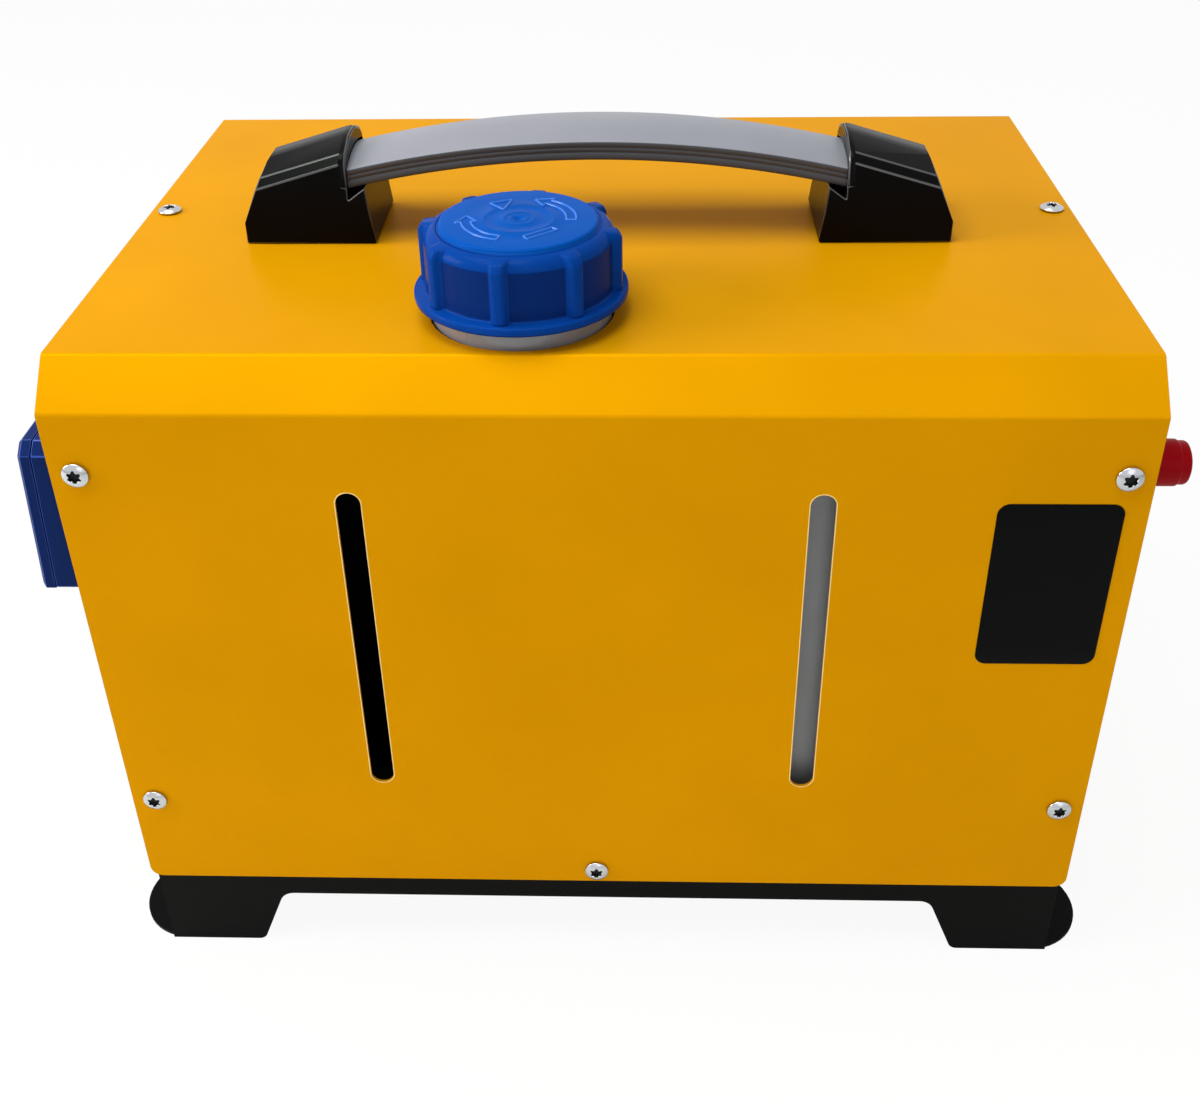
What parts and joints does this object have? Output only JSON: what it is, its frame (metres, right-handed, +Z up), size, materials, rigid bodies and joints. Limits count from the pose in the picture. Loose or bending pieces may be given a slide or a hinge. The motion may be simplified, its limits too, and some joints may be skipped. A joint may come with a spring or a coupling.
{
  "type": "portable diesel air heater",
  "caption": "Portable diesel air heater in a folded steel case with fuel tank and cap, carrying handle, side controller, terminals, air inlet grille and outlet louvre.",
  "frame": {"origin": "middle of the case in plan, at the height of the ground it stands on", "axes": "+X to the right as seen from the front, +Y to the rear, +Z up"},
  "size_m": [0.4356, 0.2968, 0.328],
  "materials": {
    "yellow_powder_coat": "gloss powder coat on steel sheet",
    "black_powder_coat": "satin powder coat on steel sheet",
    "bright_zinc": "bright zinc plated steel",
    "plain_steel": "drawn steel",
    "black_plastic": "moulded black plastic, fine grain",
    "grip_plastic": "moulded grey plastic, satin",
    "tank_plastic": "translucent grey-white blow moulding",
    "milky_plastic": "milky nylon",
    "cap_plastic": "bright blue gloss moulding",
    "controller_plastic": "dark blue satin moulding",
    "display_window": "dark clear window over a dark display",
    "red_plastic": "red satin moulding",
    "button_plastic": "soft-touch black key",
    "black_rubber": "matt black rubber",
    "turned_brass": "turned brass",
    "cast_aluminium": "as-cast aluminium"
  },
  "bodies": {
    "case": {"cover": "yellow_powder_coat", "side_panel_left": "yellow_powder_coat", "side_panel_right": "yellow_powder_coat", "base": "black_powder_coat", "front_screw_upper_left": "bright_zinc", "rear_screw_upper_left": "bright_zinc", "front_screw_upper_right": "bright_zinc", "rear_screw_upper_right": "bright_zinc", "front_screw_lower_left": "bright_zinc", "rear_screw_lower_left": "bright_zinc", "front_screw_lower_right": "bright_zinc", "rear_screw_lower_right": "bright_zinc", "front_screw_bottom": "bright_zinc", "rear_screw_bottom": "bright_zinc", "top_screw_left": "bright_zinc", "top_screw_right": "bright_zinc", "handle_bracket_left": "black_plastic", "handle_bracket_right": "black_plastic", "handle_grip": "grip_plastic", "fuel_tank": "tank_plastic", "tank_outlet": "turned_brass", "tank_hose": "black_rubber", "pump_hose": "black_rubber", "pump_clamp": "black_rubber", "fuel_filter": "milky_plastic", "fuel_line": "milky_plastic", "fuel_pump": "bright_zinc", "core_shell_lower": "black_plastic", "core_shell_upper": "black_plastic", "heat_exchanger": "cast_aluminium", "blower_motor": "cast_aluminium", "combustion_air_stub": "cast_aluminium", "burner_tube": "plain_steel", "glow_plug": "plain_steel", "exhaust_stub": "plain_steel", "control_box": "black_plastic", "outlet_hood": "black_plastic", "intake_grille": "black_plastic", "outlet_ring": "black_plastic", "controller_back": "controller_plastic", "controller_bezel": "controller_plastic", "controller_display": "display_window", "terminal_post_red": "red_plastic", "terminal_stud_red": "turned_brass", "terminal_post_black": "black_plastic", "terminal_stud_black": "turned_brass"},
    "cap_lift": {"cap_seal": "black_rubber"},
    "cap": {"fuel_cap": "cap_plastic"},
    "rotor": {"blower_shaft": "plain_steel", "air_impeller": "black_plastic", "combustion_impeller": "cast_aluminium"},
    "louvre": {"outlet_louvre": "black_plastic"},
    "power_key": {"button_power": "button_plastic"},
    "set_key": {"button_set": "button_plastic"},
    "up_key": {"button_up": "button_plastic"},
    "down_key": {"button_down": "button_plastic"},
    "red_washer": {"terminal_washer_red": "bright_zinc"},
    "red_knob": {"terminal_knob_red": "red_plastic"},
    "black_washer": {"terminal_washer_black": "bright_zinc"},
    "black_knob": {"terminal_knob_black": "black_plastic"}
  },
  "joints": [
    {"name": "cap_lift", "type": "slide", "parent": "case", "child": "cap_lift", "axis": [0, 0, 1], "range_m": [0, 0.009]},
    {"name": "cap_turn", "type": "hinge", "parent": "cap_lift", "child": "cap", "pos_m": [-0.0281, -0.0937, 0.3], "axis": [0, 0, 1], "range_deg": [0, 540]},
    {"name": "rotor_spin", "type": "hinge", "parent": "case", "child": "rotor", "pos_m": [-0.11, 0.05, 0.119], "axis": [1, 0, 0], "continuous": true},
    {"name": "louvre_turn", "type": "hinge", "parent": "case", "child": "louvre", "pos_m": [0.205, 0.05, 0.119], "axis": [1, 0, 0], "continuous": true},
    {"name": "power_press", "type": "slide", "parent": "case", "child": "power_key", "axis": [1, 0, 0], "range_m": [0, 0.0008], "stiffness_N_per_m": 400},
    {"name": "set_press", "type": "slide", "parent": "case", "child": "set_key", "axis": [1, 0, 0], "range_m": [0, 0.0008], "stiffness_N_per_m": 400},
    {"name": "up_press", "type": "slide", "parent": "case", "child": "up_key", "axis": [1, 0, 0], "range_m": [0, 0.0008], "stiffness_N_per_m": 400},
    {"name": "down_press", "type": "slide", "parent": "case", "child": "down_key", "axis": [1, 0, 0], "range_m": [0, 0.0008], "stiffness_N_per_m": 400},
    {"name": "red_knob_travel", "type": "slide", "parent": "case", "child": "red_washer", "axis": [1, 0, 0], "range_m": [0, 0.005]},
    {"name": "red_knob_turn", "type": "hinge", "parent": "red_washer", "child": "red_knob", "pos_m": [0.21, -0.1125, 0.2307], "axis": [1, 0, 0], "range_deg": [0, 1440]},
    {"name": "black_knob_travel", "type": "slide", "parent": "case", "child": "black_washer", "axis": [1, 0, 0], "range_m": [0, 0.005]},
    {"name": "black_knob_turn", "type": "hinge", "parent": "black_washer", "child": "black_knob", "pos_m": [0.21, -0.0805, 0.2307], "axis": [1, 0, 0], "range_deg": [0, 1440]}
  ],
  "couplings": [
    {"joint": "cap_turn", "follows": "cap_lift", "rad_per_m": 1047.2},
    {"joint": "red_knob_turn", "follows": "red_knob_travel", "rad_per_m": 5026.5},
    {"joint": "black_knob_turn", "follows": "black_knob_travel", "rad_per_m": 5026.5}
  ]
}
